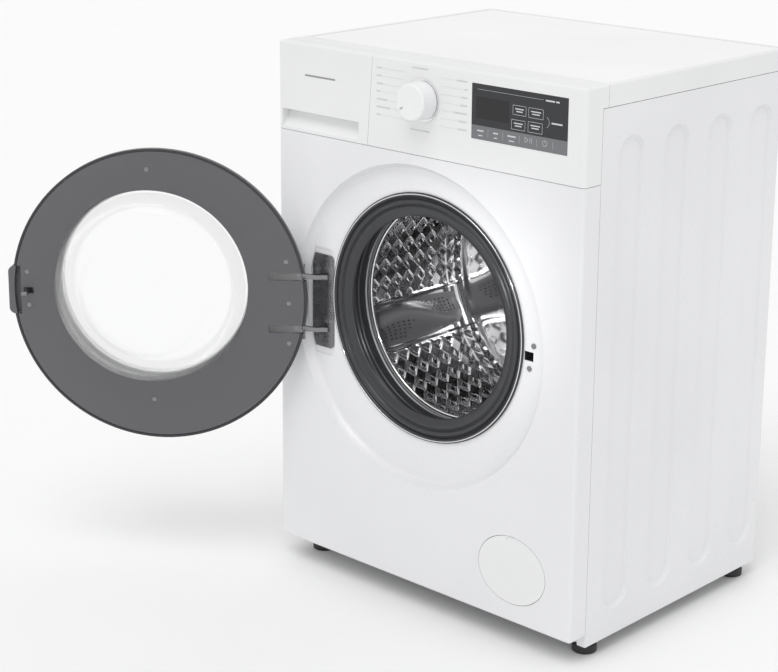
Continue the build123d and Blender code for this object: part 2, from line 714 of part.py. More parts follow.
def make_tub():
    """Outer tub: the front half with its neck, and the rear half with the bearing hub."""
    inner = TUB_R - TUB_WALL
    flange = TUB_R + 8
    with BuildPart() as tub_front:
        with BuildSketch(Plane.XY.offset(650)):
            with Locations(FILL_SPOT):
                Circle(19)
        extrude(amount=60)
        add(turned([(0, 0), (inner, 0), (inner, TUB_SPLIT_Y), (0, TUB_SPLIT_Y)]), mode=Mode.SUBTRACT)
        add(
            turned(
                [
                    (171.8, 49.5),
                    (175.4, 49.5),
                    (175.4, TUB_FRONT_Y),
                    (TUB_R, TUB_FRONT_Y),
                    (TUB_R, TUB_SPLIT_Y - 7),
                    (flange, TUB_SPLIT_Y - 7),
                    (flange, TUB_SPLIT_Y),
                    (inner, TUB_SPLIT_Y),
                    (inner, TUB_FRONT_Y + TUB_WALL),
                    (171.8, TUB_FRONT_Y + TUB_WALL),
                ]
            )
        )
        with BuildSketch(Plane.XY.offset(640)):
            with Locations(FILL_SPOT):
                Circle(16)
        extrude(amount=80, mode=Mode.SUBTRACT)
    save(tub_front, "tub_front")
    with BuildPart() as tub_rear:
        add(
            turned(
                [
                    (inner, TUB_SPLIT_Y),
                    (flange, TUB_SPLIT_Y),
                    (flange, TUB_SPLIT_Y + 7),
                    (TUB_R, TUB_SPLIT_Y + 7),
                    (TUB_R, TUB_BACK_Y + 6),
                    (44, TUB_BACK_Y + 6),
                    (40, HUB_BACK_Y),
                    (REAR_BEARING_R, HUB_BACK_Y),
                    (REAR_BEARING_R, HUB_BACK_Y - 15),
                    (22, HUB_BACK_Y - 15),
                    (22, FRONT_BEARING_Y + 16),
                    (FRONT_BEARING_R, FRONT_BEARING_Y + 16),
                    (FRONT_BEARING_R, HUB_FRONT_Y),
                    (42, HUB_FRONT_Y),
                    (46, TUB_BACK_Y),
                    (inner, TUB_BACK_Y),
                ]
            )
        )
        with BuildSketch(at_depth(TUB_BACK_Y)):
            with Locations((0, PORT_Z)):
                with PolarLocations(150, 12, start_angle=15):
                    Rectangle(180, 4)
        extrude(amount=-18)
        with BuildSketch(at_depth(TUB_BACK_Y - 2)):
            with Locations((0, PORT_Z - HEATER_DROP)):
                Rectangle(64, 12)
        extrude(amount=-30, mode=Mode.SUBTRACT)
        for side in (-1, 1):
            with BuildSketch(Plane.XY.offset(596)):
                with Locations((side * 226, SPRING_Y)):
                    Rectangle(34, 16)
                with Locations((side * SPRING_X, SPRING_Y)):
                    Circle(3, mode=Mode.SUBTRACT)
            extrude(amount=5)
    save(tub_rear, "tub_rear")


def make_bearings():
    """The two deep groove bearings in the hub."""
    with BuildPart() as drum_bearings:
        for start, bore, outer in (
            (FRONT_BEARING_Y, SHAFT_R, FRONT_BEARING_R),
            (HUB_BACK_Y - 15, SHAFT_TAIL_R, REAR_BEARING_R),
        ):
            with BuildSketch(at_depth(start)):
                with Locations((0, PORT_Z)):
                    Circle(outer)
                    Circle(bore + RUNNING_FIT, mode=Mode.SUBTRACT)
            extrude(amount=-15)
    save(drum_bearings, "drum_bearings")


def lifter_section(scale):
    """Cross section of a lifter, its base on the drum wall and its crest towards the axis."""
    with BuildSketch() as section:
        with BuildLine():
            Spline(
                (-31 * scale, DRUM_R),
                (-14 * scale, DRUM_R - 30),
                (0, DRUM_R - 42 - 8 * scale),
                (14 * scale, DRUM_R - 30),
                (31 * scale, DRUM_R),
            )
            Line((31 * scale, DRUM_R), (-31 * scale, DRUM_R))
        make_face()
    return section.sketch


def make_drum():
    """Steel drum: rolled wall, front with its rounded mouth, pressed back, and three lifters."""
    sheet = 1.2
    with BuildPart() as drum_shell:
        with BuildSketch(at_depth(DRUM_FRONT_Y + 8)):
            with Locations((0, PORT_Z)):
                Circle(DRUM_R)
                Circle(DRUM_R - sheet, mode=Mode.SUBTRACT)
        extrude(amount=-(DRUM_BACK_Y - DRUM_FRONT_Y - 8))
    save(drum_shell, "drum_shell")
    with BuildPart() as drum_front:
        with BuildSketch(PORT_SECTION):
            with BuildLine():
                Polyline(
                    (DRUM_MOUTH_R + 2, DRUM_FRONT_Y + 6),
                    (DRUM_MOUTH_R, DRUM_FRONT_Y + 4),
                )
                Spline(
                    (DRUM_MOUTH_R, DRUM_FRONT_Y + 4),
                    (DRUM_MOUTH_R + 5, DRUM_FRONT_Y),
                    tangents=[(0, -1), (1, 0)],
                )
                Polyline(
                    (DRUM_MOUTH_R + 5, DRUM_FRONT_Y),
                    (DRUM_R - 4, DRUM_FRONT_Y + 5),
                    (DRUM_R, DRUM_FRONT_Y + 8),
                    (DRUM_R - 4, DRUM_FRONT_Y + 8),
                    (DRUM_MOUTH_R + 6, DRUM_FRONT_Y + 3),
                    (DRUM_MOUTH_R + 2, DRUM_FRONT_Y + 6),
                )
            make_face()
        revolve(axis=PORT_AXIS)
    save(drum_front, "drum_front")
    with BuildPart() as drum_back:
        with BuildSketch(at_depth(DRUM_BACK_Y)):
            with Locations((0, PORT_Z)):
                Circle(DRUM_R)
        extrude(amount=-2)
        with BuildSketch(at_depth(DRUM_BACK_Y)):
            with Locations((0, PORT_Z)):
                Circle(60)
                with PolarLocations(125, 6, start_angle=7):
                    SlotOverall(150, 34)
        extrude(amount=4)
    save(drum_back, "drum_back")
    with BuildPart() as drum_lifters:
        for angle in LIFTER_ANGLES:
            across = (sin(radians(angle)), 0, -cos(radians(angle)))
            for depth, scale in ((DRUM_FRONT_Y + 16, 0.75), (DRUM_BACK_Y - 8, 1.0)):
                with BuildSketch(Plane(origin=(0, depth, PORT_Z), x_dir=across, z_dir=(0, -1, 0))):
                    add(lifter_section(scale))
            loft()
        inside = DRUM_R - sheet
        add(turned([(0, 0), (inside, 0), (inside, TUB_BACK_Y), (0, TUB_BACK_Y)]), mode=Mode.INTERSECT)
    save(drum_lifters, "drum_lifters")


def make_drum_drive():
    """Three armed spider cast round the shaft, and the large pulley on its tail."""
    spider_y = DRUM_BACK_Y + 2
    with BuildPart() as drum_spider:
        with BuildSketch(at_depth(spider_y)):
            with Locations((0, PORT_Z)):
                Circle(24)
                with PolarLocations(120, 3, start_angle=LIFTER_ANGLES[2]):
                    Rectangle(228, 26)
        extrude(amount=-5.5)
        with BuildSketch(at_depth(spider_y)):
            with Locations((0, PORT_Z)):
                Circle(SHAFT_R)
        extrude(amount=-(FRONT_BEARING_Y + 16 - spider_y))
        with BuildSketch(at_depth(FRONT_BEARING_Y + 16)):
            with Locations((0, PORT_Z)):
                Circle(SHAFT_TAIL_R)
        extrude(amount=-(PULLEY_Y + PULLEY_WIDTH - FRONT_BEARING_Y - 16))
    save(drum_spider, "drum_spider")
    with BuildPart() as drum_pulley:
        with BuildSketch(at_depth(PULLEY_Y)):
            with Locations((0, PORT_Z)):
                Circle(DRUM_PULLEY_R)
                Circle(DRUM_PULLEY_R - 10, mode=Mode.SUBTRACT)
        extrude(amount=-PULLEY_WIDTH)
        with BuildSketch(at_depth(PULLEY_Y + 3)):
            with Locations((0, PORT_Z)):
                with PolarLocations(75, 6):
                    Rectangle(118, 22)
                Circle(28)
                Circle(SHAFT_TAIL_R, mode=Mode.SUBTRACT)
        extrude(amount=-6)
    save(drum_pulley, "drum_pulley")


def belt_loop(gap):
    """The outline that a belt makes at a gap outside both pulleys."""
    with BuildSketch() as loop:
        with Locations((0, PORT_Z)):
            Circle(DRUM_PULLEY_R + gap)
        with Locations((MOTOR_X, MOTOR_Z)):
            Circle(MOTOR_PULLEY_R + gap)
        make_hull()
    return loop.sketch


def make_belt_drive():
    """Motor, its pulley and the belt that turns the drum."""
    with BuildPart() as drive_belt:
        with BuildSketch(at_depth(PULLEY_Y + 1)):
            add(belt_loop(BELT_GAP + BELT_THICKNESS))
            add(belt_loop(BELT_GAP), mode=Mode.SUBTRACT)
        extrude(amount=-(PULLEY_WIDTH - 2))
    save(drive_belt, "drive_belt")
    with BuildPart() as motor:
        with BuildSketch(at_depth(235)):
            with Locations((MOTOR_X, MOTOR_Z)):
                Circle(54)
        extrude(amount=-150)
        chamfer(motor.edges().filter_by(GeomType.CIRCLE), length=6)
        with BuildSketch(at_depth(260)):
            with Locations((MOTOR_X, MOTOR_Z)):
                with PolarLocations(54, 8, start_angle=22.5):
                    Rectangle(6, 10)
        extrude(amount=-100)
        with BuildSketch(at_depth(300)):
            with Locations((MOTOR_X, MOTOR_Z + 58)):
                Rectangle(90, 14)
        extrude(amount=-24)
        with BuildSketch(at_depth(345)):
            with Locations((MOTOR_X, MOTOR_Z)):
                Circle(MOTOR_SHAFT_R + RUNNING_FIT)
        extrude(amount=-60, mode=Mode.SUBTRACT)
    save(motor, "motor")
    with BuildPart() as motor_pulley:
        with BuildSketch(at_depth(347)):
            with Locations((MOTOR_X, MOTOR_Z)):
                Circle(MOTOR_SHAFT_R)
        extrude(amount=-(PULLEY_Y - 347))
        with BuildSketch(at_depth(PULLEY_Y)):
            with Locations((MOTOR_X, MOTOR_Z)):
                Circle(MOTOR_PULLEY_R)
        extrude(amount=-PULLEY_WIDTH)
    save(motor_pulley, "motor_pulley")


def make_suspension():
    """Springs that carry the tub, dampers under it and the concrete weights on it."""
    with BuildPart() as suspension_springs:
        for side in (-1, 1):
            with BuildLine():
                Helix(pitch=8, height=167, radius=11, center=(side * SPRING_X, SPRING_Y, 603))
            start = (side * SPRING_X + 11, SPRING_Y, 603)
            with BuildSketch(Plane(origin=start, z_dir=(0, 1, 0))):
                Circle(1.6)
            sweep(is_frenet=True)
    save(suspension_springs, "suspension_springs")
    with BuildPart() as dampers:
        for side in (-1, 1):
            with BuildSketch(damper_plane(side)):
                Circle(15)
                Circle(7.3, mode=Mode.SUBTRACT)
            extrude(amount=120)
            with BuildSketch(damper_plane(side).offset(40)):
                Circle(7)
            extrude(amount=156)
    save(dampers, "dampers")
    with BuildPart() as counterweights:
        add(turned([(194, 39), (246, 39), (246, 61), (194, 61)]))
        with BuildSketch(Plane.XZ):
            with Locations((0, PORT_Z + 180)):
                Rectangle(WIDTH, 320)
        extrude(amount=-80, mode=Mode.SUBTRACT)
        fillet(counterweights.edges().filter_by(Axis.Y), radius=8)
        with BuildSketch(at_depth(90)):
            with Locations((60, 752)):
                Rectangle(230, 92)
            with Locations((0, PORT_Z)):
                Circle(TUB_R + 9, mode=Mode.SUBTRACT)
        extrude(amount=-200)
    save(counterweights, "counterweights")


def damper_plane(side):
    """Where one damper stands on the tray, leaning in towards the tub."""
    return Plane(origin=(side * 245, 262, 44), z_dir=(-side * 0.16, 0, 1))


def make_heater():
    """Hairpin heating element low in the tub, with its flange outside the back wall."""
    rod_x = 22.0
    height = PORT_Z - HEATER_DROP
    with BuildPart() as heater:
        with BuildLine():
            Line((-rod_x, TUB_BACK_Y + 6, height), (-rod_x, 230, height))
            RadiusArc((-rod_x, 230, height), (rod_x, 230, height), rod_x)
            Line((rod_x, 230, height), (rod_x, TUB_BACK_Y + 6, height))
        with BuildSketch(Plane(origin=(-rod_x, TUB_BACK_Y + 6, height), z_dir=(0, -1, 0))):
            Circle(HEATER_ROD_R)
        sweep()
        with BuildSketch(at_depth(TUB_BACK_Y + 6)):
            with Locations((0, height + 1)):
                RectangleRounded(84, 22, 5)
        extrude(amount=-5)
    save(heater, "heater")


# ---------------------------------------------------------------- water path


def make_rear_fittings():
    """Inlet valve, and the plastic fittings in the back: transit hole caps, drain outlet, cable gland."""
    with BuildPart() as inlet_valve:
        with BuildSketch(at_depth(BODY_DEPTH - 30)):
            with Locations(INLET_SPOT):
                RectangleRounded(44, 38, 5)
        extrude(amount=-26)
        with BuildSketch(at_depth(BODY_DEPTH - 4)):
            with Locations(INLET_SPOT):
                Circle(VALVE_COLLAR_R - 0.3)
        extrude(amount=-5)
        with BuildSketch(at_depth(BODY_DEPTH + 1)):
            with Locations(INLET_SPOT):
                Circle(INLET_THREAD_R)
        extrude(amount=-14)
        with BuildSketch(at_depth(BODY_DEPTH - 4)):
            with Locations(INLET_SPOT):
                Circle(8)
        extrude(amount=-30, mode=Mode.SUBTRACT)
        with BuildSketch(at_depth(BODY_DEPTH - 30)):
            with Locations(INLET_SPOT):
                Circle(7)
        extrude(amount=12)
    save(inlet_valve, "inlet_valve")
    with BuildPart() as rear_fittings:
        with BuildSketch(at_depth(BODY_DEPTH)):
            with Locations(*TRANSIT_SPOTS):
                Circle(TRANSIT_R + 4)
            with Locations(DRAIN_SPOT):
                Circle(DRAIN_COLLAR_R + 4)
                Circle(DRAIN_BORE_R, mode=Mode.SUBTRACT)
            with Locations(CABLE_SPOT):
                Circle(GLAND_R + 4)
                Circle(4, mode=Mode.SUBTRACT)
        extrude(amount=-3)
        with BuildSketch(at_depth(BODY_DEPTH - 8)):
            with Locations(*TRANSIT_SPOTS):
                Circle(TRANSIT_R - 0.2)
            with Locations(DRAIN_SPOT):
                Circle(DRAIN_COLLAR_R - 0.2)
                Circle(DRAIN_BORE_R, mode=Mode.SUBTRACT)
            with Locations(CABLE_SPOT):
                Circle(GLAND_R - 0.2)
                Circle(4, mode=Mode.SUBTRACT)
        extrude(amount=-8)
        with BuildSketch(at_depth(BODY_DEPTH + 3)):
            with Locations(DRAIN_SPOT):
                Circle(DRAIN_SPIGOT_R)
                Circle(DRAIN_BORE_R, mode=Mode.SUBTRACT)
        extrude(amount=-DRAIN_SPIGOT_LENGTH)
    save(rear_fittings, "rear_fittings")


def make_hoses():
    """Hoses inside the cabinet: inlet to dispenser, dispenser to tub, tub to pump, pump to outlet."""
    drawer_back = DRAWER_FRONT_DEPTH + TRAY_DEPTH + 12.1
    inlet_x, inlet_z = INLET_SPOT
    inlet_run = [
        (inlet_x, BODY_DEPTH - 43, inlet_z),
        (inlet_x, 370, inlet_z),
        (-160, 370, inlet_z),
        (-160, drawer_back, inlet_z),
    ]
    drain_x, drain_z = DRAIN_SPOT
    drain_run = [
        (FILTER_X + 34.3, 118, FILTER_Z),
        (drain_x, 118, FILTER_Z),
        (drain_x, 118, drain_z),
        (drain_x, BODY_DEPTH - 9, drain_z),
    ]
    sump_run = [
        (70, 92, 214),
        (70, 92, FILTER_Z),
        (FILTER_X - 34.5, 92, FILTER_Z),
    ]
    with BuildPart() as water_hoses:
        add(tube(inlet_run, 28, 9, 7))
        add(tube(drain_run, 22, 9.5, DRAIN_BORE_R))
        add(tube(sump_run, 34, 21, 17))
        with BuildSketch(Plane.XY.offset(688)):
            with Locations(FILL_SPOT):
                Circle(22)
                Circle(19.2, mode=Mode.SUBTRACT)
        extrude(amount=40)
    save(water_hoses, "water_hoses")


def make_pump():
    """Drain pump with the filter cap at its front and the impeller behind it."""
    with BuildPart() as drain_pump:
        with BuildSketch(at_depth(PUMP_FRONT_Y + 8)):
            with Locations((FILTER_X, FILTER_Z)):
                Circle(CAP_R + 5)
        extrude(amount=-90)
        with BuildSketch(at_depth(PUMP_FRONT_Y + 8)):
            with Locations((FILTER_X, FILTER_Z)):
                Circle(CAP_R + 0.6)
        extrude(amount=-76, mode=Mode.SUBTRACT)
        with BuildSketch(at_depth(PUMP_FRONT_Y + 98)):
            with Locations((FILTER_X, FILTER_Z)):
                Circle(26)
                Rectangle(62, 40)
        extrude(amount=-52)
        with BuildSketch(at_depth(PUMP_FRONT_Y + 70)):
            with Locations((FILTER_X, FILTER_Z)):
                Circle(PUMP_SHAFT_R + RUNNING_FIT)
        extrude(amount=-70, mode=Mode.SUBTRACT)
        with BuildSketch(Plane.XY.offset(30)):
            with Locations((FILTER_X, 90)):
                Rectangle(50, 40)
        extrude(amount=62)
    save(drain_pump, "drain_pump")
    with BuildPart() as pump_impeller:
        with BuildSketch(at_depth(PUMP_FRONT_Y + 68)):
            with Locations((FILTER_X, FILTER_Z)):
                with PolarLocations(10, 4, start_angle=20):
                    Rectangle(18, 3)
                Circle(6)
        extrude(amount=-12)
        with BuildSketch(at_depth(PUMP_FRONT_Y + 80)):
            with Locations((FILTER_X, FILTER_Z)):
                Circle(PUMP_SHAFT_R)
        extrude(amount=-40)
    save(pump_impeller, "pump_impeller")
    with BuildPart() as filter_cap:
        with BuildSketch(at_depth(PUMP_FRONT_Y)):
            with Locations((FILTER_X, FILTER_Z)):
                Circle(CAP_R + 4)
        extrude(amount=-7)
        with BuildSketch(at_depth(PUMP_FRONT_Y + 7)):
            with Locations((FILTER_X, FILTER_Z)):
                Circle(CAP_R)
        extrude(amount=-16)
        with BuildSketch(at_depth(PUMP_FRONT_Y)):
            with Locations((FILTER_X, FILTER_Z)):
                SlotOverall(50, 9)
        extrude(amount=11)
        with BuildSketch(at_depth(PUMP_FRONT_Y + 23)):
            with Locations((FILTER_X, FILTER_Z)):
                with PolarLocations(22, 10):
                    Circle(2)
        extrude(amount=-34)
    save(filter_cap, "filter_cap")


def make_filter_flap():
    """Oval flap in front of the filter, on two pins at its foot, with a finger tab at its top."""
    with BuildPart() as filter_flap:
        with BuildSketch(Plane.XZ):
            with Locations((FILTER_X, FILTER_Z)):
                Ellipse(FLAP_A, FLAP_B)
            with Locations((FILTER_X, FILTER_Z + FLAP_B - 3)):
                Rectangle(20, 8, mode=Mode.SUBTRACT)
        extrude(amount=-2.2)
        with BuildSketch(at_depth(1.2)):
            with Locations((FILTER_X, FILTER_Z + FLAP_B - 7)):
                Rectangle(24, 13)
        extrude(amount=-1.2)
    save(filter_flap, "filter_flap")


# ---------------------------------------------------------------- door, hinge and latch


def make_hinge_bracket():
    """Steel plate screwed into the pocket, with two curved arms that reach out to the pin."""
    plate_back = DISH_DEPTH + 3.5
    plate = 2.0
    with BuildPart() as hinge_bracket:
        with BuildSketch(at_depth(plate_back - plate)):
            with Locations((-217, 448)):
                RectangleRounded(46, 150, 8)
            with Locations((0, PORT_Z)):
                Circle(PORT_R + 8, mode=Mode.SUBTRACT)
            with Locations((DOOR_X, DOOR_Z)):
                Circle(DISH_R - 14, mode=Mode.INTERSECT)
        extrude(amount=-plate)
        for height in ARM_HEIGHTS:
            with BuildSketch(Plane.XY.offset(height - ARM_THICKNESS / 2)):
                with BuildLine():
                    Polyline((-212, plate_back), (-205, plate_back), (-205, 12), (-211, 8))
                    Spline((-211, 8), (-226, -5), (-237, -8.4), tangents=[(-0.6, -1), (-1, -0.2)])
                    Polyline((-237, -8.4), (-240, -4), (-236, -1))
                    Spline((-236, -1), (-224, 4), (-216, 14), tangents=[(1, 0.1), (0.3, 1)])
                    Polyline((-216, 14), (-216, plate_back), (-212, plate_back))
                make_face()
                with Locations((HINGE_X, HINGE_Y)):
                    Circle(KNUCKLE_R)
                    Circle(PIN_R + RUNNING_FIT, mode=Mode.SUBTRACT)
            extrude(amount=ARM_THICKNESS)
    save(hinge_bracket, "hinge_bracket")
    with BuildPart() as front_screws:
        for height in (383.0, 513.0):
            with BuildSketch(at_depth(plate_back - plate)):
                with Locations((-214, height)):
                    Circle(5)
            extrude(amount=2.2)
        with BuildSketch(at_depth(DISH_DEPTH)):
            with Locations((LATCH_X + 9, LATCH_Z + 17), (LATCH_X + 2, LATCH_Z - 18)):
                Circle(4)
        extrude(amount=1.5)
    save(front_screws, "front_screws")


def shell_height(radius):
    """Height of the door's outer surface above the hinge plane at a distance from its centre."""
    reach = (DOOR_R - radius) / (DOOR_R - SHELL_CREST_R)
    return RIM_HEIGHT + (CREST_HEIGHT - RIM_HEIGHT) * (1 - (1 - min(reach, 1)) ** 1.7)


def shell_curve(inset, first, last, steps=6):
    """Points along the door's outer surface, set in by a wall thickness."""
    radii = [first + (last - first) * i / steps for i in range(steps + 1)]
    return [(radius, shell_height(radius + inset) - inset) for radius in radii]


def hinge_slots(inward):
    """Two slots that the curved arms swing in, from beyond the rim to a distance from the centre."""
    low, high = -10.0, 12.0
    with BuildPart() as slots:
        for height in ARM_HEIGHTS:
            with BuildSketch(DOOR.offset(low)):
                with Locations((-(inward + 250) / 2, height - DOOR_Z)):
                    Rectangle(250 - inward, ARM_THICKNESS + 5)
            extrude(amount=high - low)
    return slots.part


def make_door_shells():
    """Outer shell, dark trim ring and the grey inner frame that faces the porthole."""
    wall = 2.5
    outer = shell_curve(0, DOOR_R, SHELL_CREST_R)
    inner = shell_curve(wall, DOOR_R - wall, SHELL_CREST_R)
    with BuildPart() as door_shell:
        with BuildSketch(DOOR_SECTION):
            with BuildLine():
                Polyline((DOOR_R, 0.6), outer[0])
                Spline(*outer)
                Polyline(
                    outer[-1],
                    (0, CREST_HEIGHT),
                    (0, CREST_HEIGHT - wall),
                    inner[-1],
                )
                Spline(*reversed(inner))
                Polyline(inner[0], (DOOR_R - wall, 0.6), (DOOR_R, 0.6))
            make_face()
        revolve(axis=DOOR_AXIS)
        with BuildSketch(DOOR.offset(CREST_HEIGHT - 2 * wall)):
            with Locations(WINDOW_SPOT):
                Circle(WINDOW_COVER_R + 3)
        extrude(amount=2 * wall, mode=Mode.SUBTRACT)
        with BuildSketch(DOOR.offset(CREST_HEIGHT - 14)):
            with Locations(WINDOW_SPOT):
                Circle(WINDOW_COVER_R + 5.5)
                Circle(WINDOW_COVER_R + 3, mode=Mode.SUBTRACT)
        extrude(amount=12)
        add(hinge_slots(208), mode=Mode.SUBTRACT)
        with BuildSketch(Plane(origin=(HINGE_X, HINGE_Y, ARM_HEIGHTS[0] - 20), z_dir=(0, 0, 1))):
            Circle(PIN_R + 0.5)
        extrude(amount=ARM_HEIGHTS[1] - ARM_HEIGHTS[0] + 40, mode=Mode.SUBTRACT)
        with BuildSketch(DOOR.offset(-10)):
            with Locations((HANDLE_X, HANDLE_Y)):
                Rectangle(40.6, HANDLE_SPAN + 0.6)
        extrude(amount=26, mode=Mode.SUBTRACT)
    save(door_shell, "door_shell")
    with BuildPart() as door_trim:
        with BuildSketch(DOOR.offset(RING_FACE)):
            Circle(DOOR_R)
            Circle(TRIM_R, mode=Mode.SUBTRACT)
        extrude(amount=-RING_FACE + 0.4)
        add(hinge_slots(174), mode=Mode.SUBTRACT)
        with BuildSketch(DOOR.offset(-10)):
            with Locations((HANDLE_X, HANDLE_Y)):
                Rectangle(40.6, HANDLE_SPAN + 0.6)
        extrude(amount=26, mode=Mode.SUBTRACT)
    save(door_trim, "door_trim")
    with BuildPart() as door_inner_frame:
        with BuildSketch(DOOR.offset(RING_FACE)):
            Circle(TRIM_R - 0.3)
            with Locations(WINDOW_SPOT):
                Circle(WINDOW_R, mode=Mode.SUBTRACT)
        extrude(amount=3)
        chamfer(door_inner_frame.edges().sort_by(SortBy.LENGTH)[-2:].sort_by(DOOR_AXIS)[0], length=1.2)
        with BuildSketch(DOOR.offset(RING_FACE + 3)):
            Circle(TRIM_R - 0.3)
            Circle(TRIM_R - 3, mode=Mode.SUBTRACT)
        extrude(amount=5)
        add(hinge_slots(174), mode=Mode.SUBTRACT)
        with BuildSketch(DOOR.offset(-10)):
            with Locations((LATCH_X - DOOR_X - 2, LATCH_Z - DOOR_Z)):
                Rectangle(16, 10)
        extrude(amount=12, mode=Mode.SUBTRACT)
        with BuildSketch(DOOR.offset(RING_FACE)):
            with Locations(*DOOR_SCREW_SPOTS):
                Circle(SCREW_HEAD_R + 0.4)
        extrude(amount=2, mode=Mode.SUBTRACT)
        with BuildSketch(DOOR.offset(-10)):
            with Locations((HANDLE_X + 12, HANDLE_Y)):
                Rectangle(24, HANDLE_SPAN + 0.6)
        extrude(amount=26, mode=Mode.SUBTRACT)
    save(door_inner_frame, "door_inner_frame")


def make_door_glass():
    """Deep glass bowl with its flange, and the flat clear cover in the outer shell."""
    with BuildPart() as door_glass:
        with BuildSketch(WINDOW_SECTION):
            with BuildLine():
                Polyline((166, -4.8), (166, -0.8), (149, -0.8), (147, -16))
                inside = [(147, -16), (141, -38), (128, -51), (100, -55.5), (0, -58)]
                outside = [(0, -62), (102, -59.5), (131, -54), (145, -40), (151, -16)]
                Spline(*inside, tangents=[(-0.2, -1), (-1, 0)])
                Polyline((0, -58), (0, -62))
                Spline(*outside, tangents=[(1, 0), (0.2, 1)])
                Polyline((151, -16), (153, -4.8), (166, -4.8))
            make_face()
        revolve(axis=WINDOW_AXIS)
    save(door_glass, "door_glass")
    cover_edge = WINDOW_COVER_R + 2.6
    cover = [(0, 28), (cover_edge, 25), (cover_edge, 28), (WINDOW_COVER_R, 29.5), (0, 31)]
    with BuildPart() as window_cover:
        add(turned(cover, WINDOW_SECTION, WINDOW_AXIS))
    save(window_cover, "window_cover")


def make_door_fittings():
    """Handle, hinge pin moulded into its blocks, screws, and the sprung latch hook."""
    with BuildPart() as door_handle:
        with BuildSketch(DOOR.offset(RING_FACE)):
            with Locations((HANDLE_X, HANDLE_Y)):
                RectangleRounded(40, HANDLE_SPAN, 10)
            Circle(TRIM_R + 0.3, mode=Mode.SUBTRACT)
        extrude(amount=-RING_FACE + 12)
        with BuildSketch(DOOR.offset(2)):
            with Locations((HANDLE_X, HANDLE_Y)):
                Rectangle(39, HANDLE_SPAN - 1)
            Circle(TRIM_R + 0.3, mode=Mode.INTERSECT)
        extrude(amount=8)
    save(door_handle, "door_handle")
    with BuildPart() as door_hinge_pin:
        block_spans = (
            (ARM_HEIGHTS[0] - 18, ARM_HEIGHTS[0] - 8),
            (ARM_HEIGHTS[0] + 8, ARM_HEIGHTS[1] - 8),
            (ARM_HEIGHTS[1] + 8, ARM_HEIGHTS[1] + 18),
        )
        with BuildSketch(DOOR.offset(RING_FACE + 3.2)):
            for low, high in block_spans:
                with Locations((-220, (low + high) / 2 - DOOR_Z)):
                    Rectangle(20, high - low)
            Circle(TRIM_R - 3.3, mode=Mode.INTERSECT)
        extrude(amount=9)
        with BuildSketch(Plane(origin=(HINGE_X, HINGE_Y, ARM_HEIGHTS[0] - 18), z_dir=(0, 0, 1))):
            Circle(PIN_R)
        extrude(amount=ARM_HEIGHTS[1] - ARM_HEIGHTS[0] + 36)
    save(door_hinge_pin, "door_hinge_pin")
    with BuildPart() as door_screws:
        with BuildSketch(DOOR.offset(RING_FACE + 0.3)):
            with Locations(*DOOR_SCREW_SPOTS):
                Circle(SCREW_HEAD_R)
        extrude(amount=1.7)
    save(door_screws, "door_screws")
    hook_plane = DOOR.offset(-2)
    with BuildPart() as latch_hook:
        with BuildSketch(hook_plane):
            with Locations((LATCH_X - DOOR_X - 2, LATCH_Z - DOOR_Z)):
                Rectangle(5, 6)
        extrude(amount=-26)
        with BuildSketch(hook_plane.offset(-22)):
            with Locations((LATCH_X - DOOR_X, LATCH_Z - DOOR_Z)):
                Rectangle(9, 6)
        extrude(amount=-4)
    save(latch_hook, "latch_hook")


def make_door_lock():
    """Electric lock behind the front panel; the hook enters through its slot."""
    with BuildPart() as door_lock:
        with BuildSketch(at_depth(DISH_DEPTH + STEEL + 0.3)):
            with Locations((LATCH_X + 6, LATCH_Z)):
                Rectangle(38, 60)
        extrude(amount=-24)
        with BuildSketch(at_depth(DISH_DEPTH)):
            with Locations((LATCH_X, LATCH_Z)):
                Rectangle(17, 14)
        extrude(amount=-22, mode=Mode.SUBTRACT)
        with BuildSketch(at_depth(0)):
            with Locations((0, PORT_Z)):
                Circle(PORT_R + STEEL + 1)
        extrude(amount=-60, mode=Mode.SUBTRACT)
    save(door_lock, "door_lock")


make_front_panel()
make_side_panel("side_panel_left", -1)
make_side_panel("side_panel_right", 1)
make_rear_panel()
make_service_cover()
make_worktop()
make_base_tray()
make_top_rails()
make_feet()
make_control_panel()
make_display()
make_knob()
make_drawer()
make_dispenser()
make_gasket()
make_tub()
make_bearings()
make_drum()
make_drum_drive()
make_belt_drive()
make_suspension()
make_heater()
make_rear_fittings()
make_hoses()
make_pump()
make_filter_flap()
make_hinge_bracket()
make_door_shells()
make_door_glass()
make_door_fittings()
make_door_lock()
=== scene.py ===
"""Front load washing machine: materials, rubber and drum pieces, printed marks, light and camera."""

import json
import math

import bpy
from mathutils import Matrix, Vector


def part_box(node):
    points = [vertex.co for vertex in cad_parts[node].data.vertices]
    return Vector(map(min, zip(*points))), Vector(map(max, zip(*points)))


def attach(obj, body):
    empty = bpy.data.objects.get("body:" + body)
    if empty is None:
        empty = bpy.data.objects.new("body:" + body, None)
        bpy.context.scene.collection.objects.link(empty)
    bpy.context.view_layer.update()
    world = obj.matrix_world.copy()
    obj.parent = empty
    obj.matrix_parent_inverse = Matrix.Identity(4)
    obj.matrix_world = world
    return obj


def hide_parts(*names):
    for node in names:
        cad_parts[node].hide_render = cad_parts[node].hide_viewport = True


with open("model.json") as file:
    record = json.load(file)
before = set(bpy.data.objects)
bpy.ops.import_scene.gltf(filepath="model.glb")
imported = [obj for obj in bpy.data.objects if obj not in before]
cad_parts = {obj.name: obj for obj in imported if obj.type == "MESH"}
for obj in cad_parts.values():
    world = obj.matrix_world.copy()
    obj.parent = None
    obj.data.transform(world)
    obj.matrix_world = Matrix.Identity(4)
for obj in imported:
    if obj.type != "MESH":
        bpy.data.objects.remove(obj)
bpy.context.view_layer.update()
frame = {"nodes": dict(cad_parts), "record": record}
nodes = frame["nodes"]

MM = 0.001

